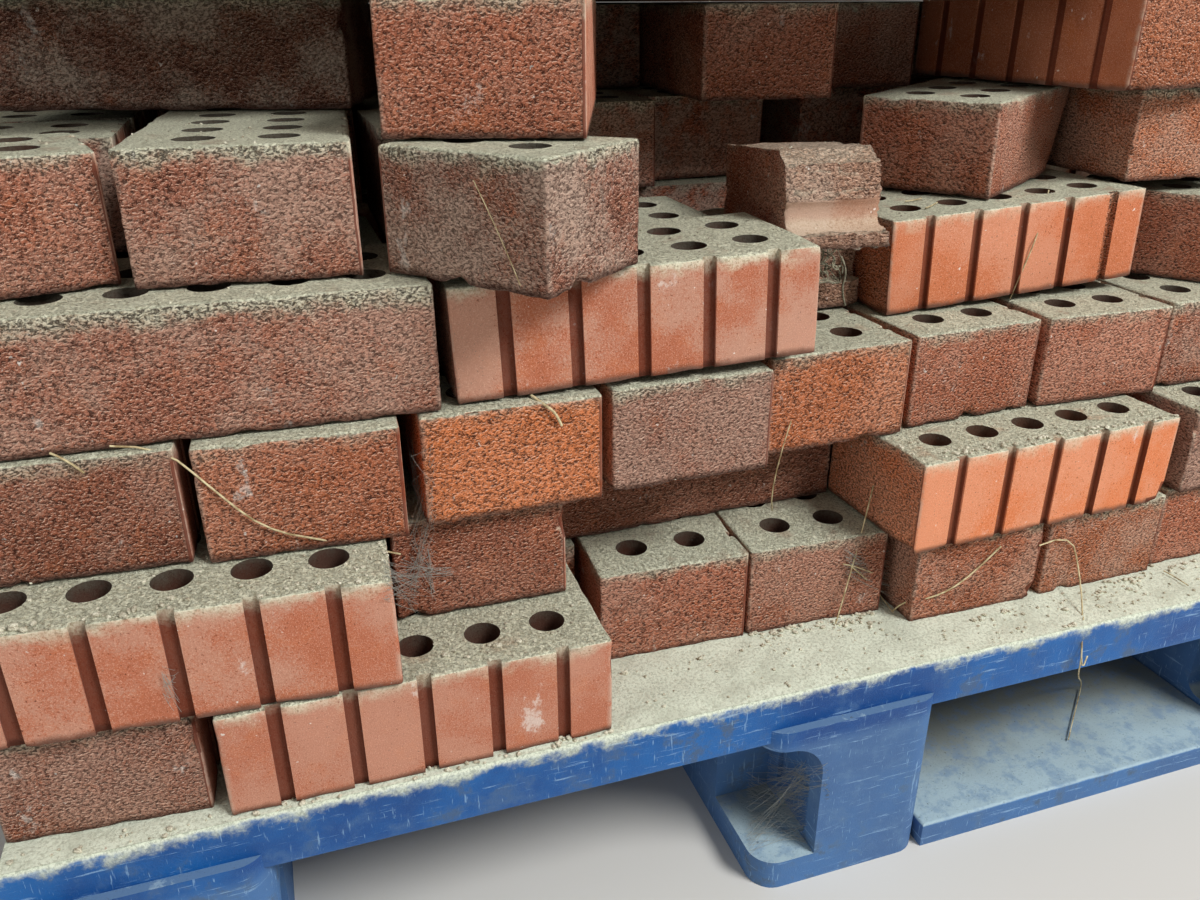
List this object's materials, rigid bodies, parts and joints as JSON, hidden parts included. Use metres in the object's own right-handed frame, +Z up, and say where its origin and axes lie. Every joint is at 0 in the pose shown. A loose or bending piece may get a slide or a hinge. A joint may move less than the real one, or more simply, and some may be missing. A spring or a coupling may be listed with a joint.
{
  "type": "pallet of bricks",
  "caption": "Loosely stacked perforated red clay facing bricks in uneven courses on a worn blue moulded plastic pallet with fork pockets.",
  "frame": {"origin": "on the ground under the middle of the pallet", "axes": "+Z up, +Y away from the pallet's front short side, +X to the right as seen from the front"},
  "size_m": [1.0137, 1.2, 0.6294],
  "materials": {
    "fired_clay": "rough, textured, dusty",
    "moulded_plastic": "worn, scratched and dusty"
  },
  "bodies": {
    "root": {"pallet_deck": "moulded_plastic", "pallet_base": "moulded_plastic", "stack_core": "fired_clay", "course_1_front": "fired_clay", "course_1_inner": "fired_clay", "course_2_front": "fired_clay", "course_2_inner": "fired_clay", "course_3_front": "fired_clay", "course_3_inner": "fired_clay", "course_4_front": "fired_clay", "course_4_inner": "fired_clay", "course_5_front": "fired_clay", "course_5_inner": "fired_clay", "course_6_front": "fired_clay", "course_6_inner": "fired_clay", "course_7_top": "fired_clay"}
  },
  "joints": []
}
